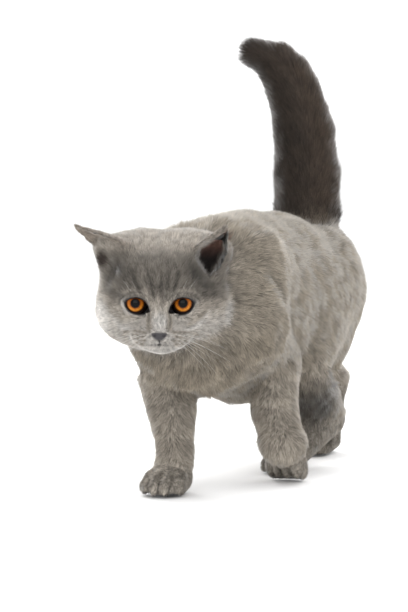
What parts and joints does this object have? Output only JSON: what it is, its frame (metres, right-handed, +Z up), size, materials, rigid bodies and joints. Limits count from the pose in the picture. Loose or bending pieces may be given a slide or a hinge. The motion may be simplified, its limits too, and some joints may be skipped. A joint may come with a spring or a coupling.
{
  "type": "cat",
  "caption": "Life-size still model of a young shorthaired cat in mid-walk, with its tail raised, its head turned and one ear laid out to the side.",
  "frame": {"origin": "on the floor, under the middle of the bounding box", "axes": "+Z up, -Y the way the cat walks, +X its left side"},
  "size_m": [0.1602, 0.35, 0.3628],
  "materials": {
    "coat_head": "dense short fur, blue-grey",
    "coat_body": "dense plush fur, blue-grey with a warm cast",
    "coat_leg": "short dense fur, blue-grey",
    "coat_tail": "bushy dark grey-brown fur",
    "ear": "thin skin with very short fur, darker inside",
    "eye": "wet, copper iris"
  },
  "bodies": {
    "root": {"head": "coat_head", "ear_left": "ear", "ear_right": "ear", "eye_left": "eye", "eye_right": "eye", "neck": "coat_body", "trunk": "coat_body", "upper_arm_left": "coat_leg", "upper_arm_right": "coat_leg", "forearm_left": "coat_leg", "forearm_right": "coat_leg", "paw_front_left": "coat_leg", "paw_front_right": "coat_leg", "thigh_left": "coat_leg", "thigh_right": "coat_leg", "shank_left": "coat_leg", "shank_right": "coat_leg", "paw_hind_left": "coat_leg", "paw_hind_right": "coat_leg", "tail_root": "coat_tail", "tail_middle": "coat_tail", "tail_tip": "coat_tail"}
  },
  "joints": []
}
